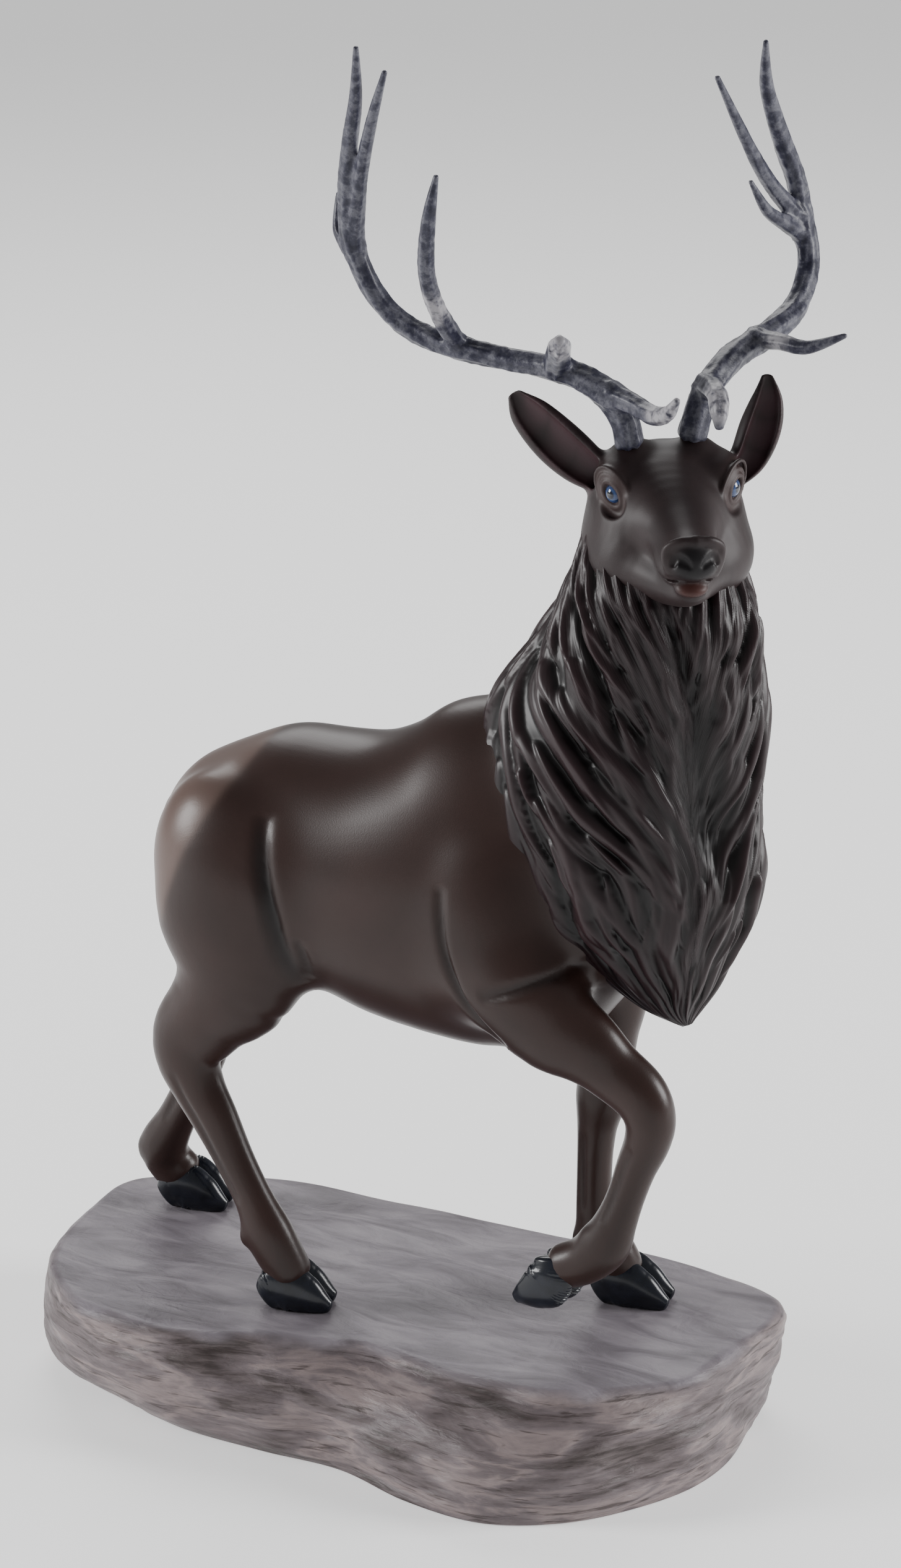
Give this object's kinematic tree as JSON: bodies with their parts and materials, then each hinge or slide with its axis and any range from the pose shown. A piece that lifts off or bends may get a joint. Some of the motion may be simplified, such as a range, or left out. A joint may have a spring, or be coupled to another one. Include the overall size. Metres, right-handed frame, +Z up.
{
  "type": "elk figurine",
  "caption": "Glazed porcelain bull elk striding on a flat-bottomed rock base, with a carved mane and separately seated branching antlers.",
  "frame": {"origin": "centre of the rock's flat underside", "axes": "+X the way the elk walks, +Y its left side, +Z up"},
  "size_m": [0.349, 0.1863, 0.5923],
  "materials": {
    "elk_glaze": "satin",
    "antler_glaze": "satin",
    "rock_glaze": "matte"
  },
  "bodies": {
    "root": {"elk": "elk_glaze", "antler_left": "antler_glaze", "antler_right": "antler_glaze", "rock_base": "rock_glaze"}
  },
  "joints": []
}
